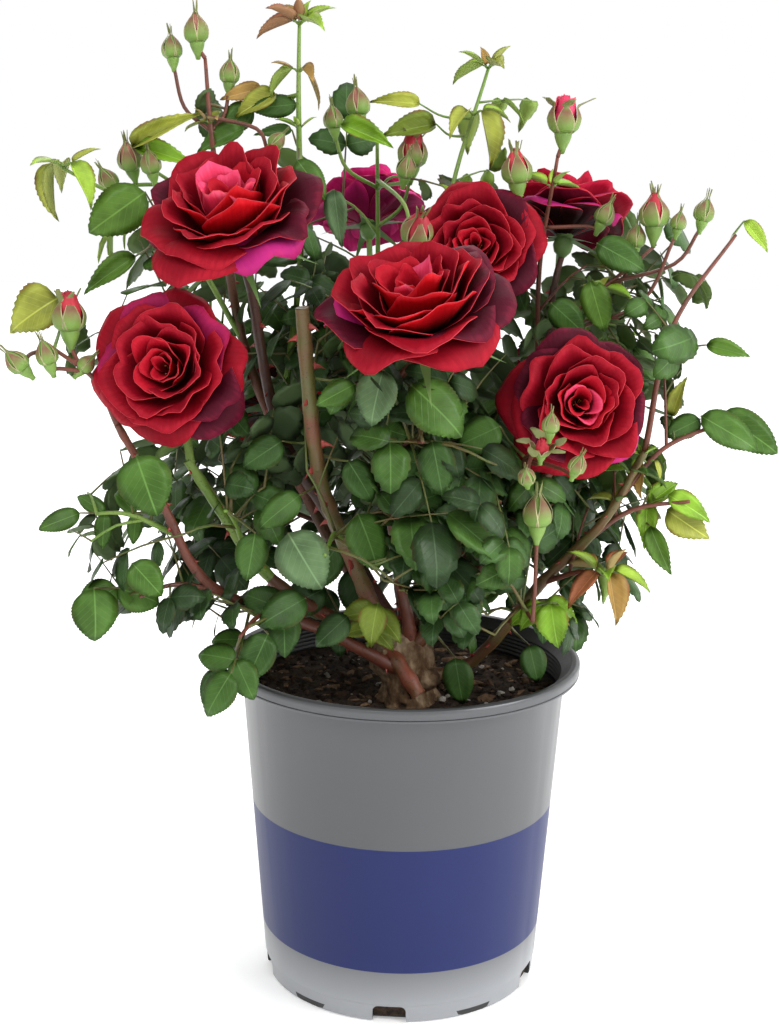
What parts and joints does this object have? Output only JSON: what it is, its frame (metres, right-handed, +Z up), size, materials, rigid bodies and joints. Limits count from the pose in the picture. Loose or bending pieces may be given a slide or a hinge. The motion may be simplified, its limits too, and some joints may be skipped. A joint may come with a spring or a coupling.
{
  "type": "potted rose bush",
  "caption": "Rose bush in a round nursery pot, with arching canes from a short rootstock, open double blooms, buds and compound leaves.",
  "frame": {"origin": "centre of the pot's flat underside", "axes": "+Z up along the pot's axis; -Y is the front of the bush"},
  "size_m": [0.4452, 0.3561, 0.6222],
  "materials": {
    "pot_plastic": "satin silver grey, with a deep blue printed band",
    "potting_mix": "rough, crumbly, dark",
    "bark": "corky and gnarled",
    "cane_skin": "smooth red-brown to green, thorny",
    "petals": "velvety deep crimson",
    "leaves": "semi-gloss leaf green"
  },
  "bodies": {
    "root": {"bloom_back": "petals", "bloom_back_right": "petals", "bloom_centre": "petals", "bloom_left": "petals", "bloom_middle": "petals", "bloom_rear_left": "petals", "bloom_rear_right": "petals", "bloom_right": "petals", "bloom_top_left": "petals", "cane_back": "cane_skin", "cane_back_centre": "cane_skin", "cane_back_left": "cane_skin", "cane_back_right": "cane_skin", "cane_centre": "cane_skin", "cane_front_cut": "cane_skin", "cane_left": "cane_skin", "cane_left_low": "cane_skin", "cane_middle_right": "cane_skin", "cane_right": "cane_skin", "cane_right_inner": "cane_skin", "cane_tall": "cane_skin", "cane_top_left": "cane_skin", "cane_upper_left": "cane_skin", "foliage_bloom_buds": "leaves", "foliage_centre_top": "leaves", "foliage_crown_left": "leaves", "foliage_crown_tip": "leaves", "foliage_front_centre": "leaves", "foliage_front_left": "leaves", "foliage_front_left_low": "leaves", "foliage_front_low": "leaves", "foliage_front_middle_left": "leaves", "foliage_front_right_low": "leaves", "foliage_inner_left": "leaves", "foliage_inner_low": "leaves", "foliage_inner_right": "leaves", "foliage_left_buds": "leaves", "foliage_left_low": "leaves", "foliage_left_shoot": "leaves", "foliage_left_spray": "leaves", "foliage_left_upper": "leaves", "foliage_middle_right": "leaves", "foliage_rear_high": "leaves", "foliage_rear_left_high": "leaves", "foliage_rear_left_low": "leaves", "foliage_rear_low": "leaves", "foliage_rear_right_high": "leaves", "foliage_rear_right_low": "leaves", "foliage_right_arch": "leaves", "foliage_right_buds": "leaves", "foliage_right_far": "leaves", "foliage_right_low": "leaves", "foliage_right_middle": "leaves", "foliage_top_middle": "leaves", "foliage_top_right": "leaves", "pot": "pot_plastic", "potting_mix": "potting_mix", "trunk": "bark"}
  },
  "joints": []
}
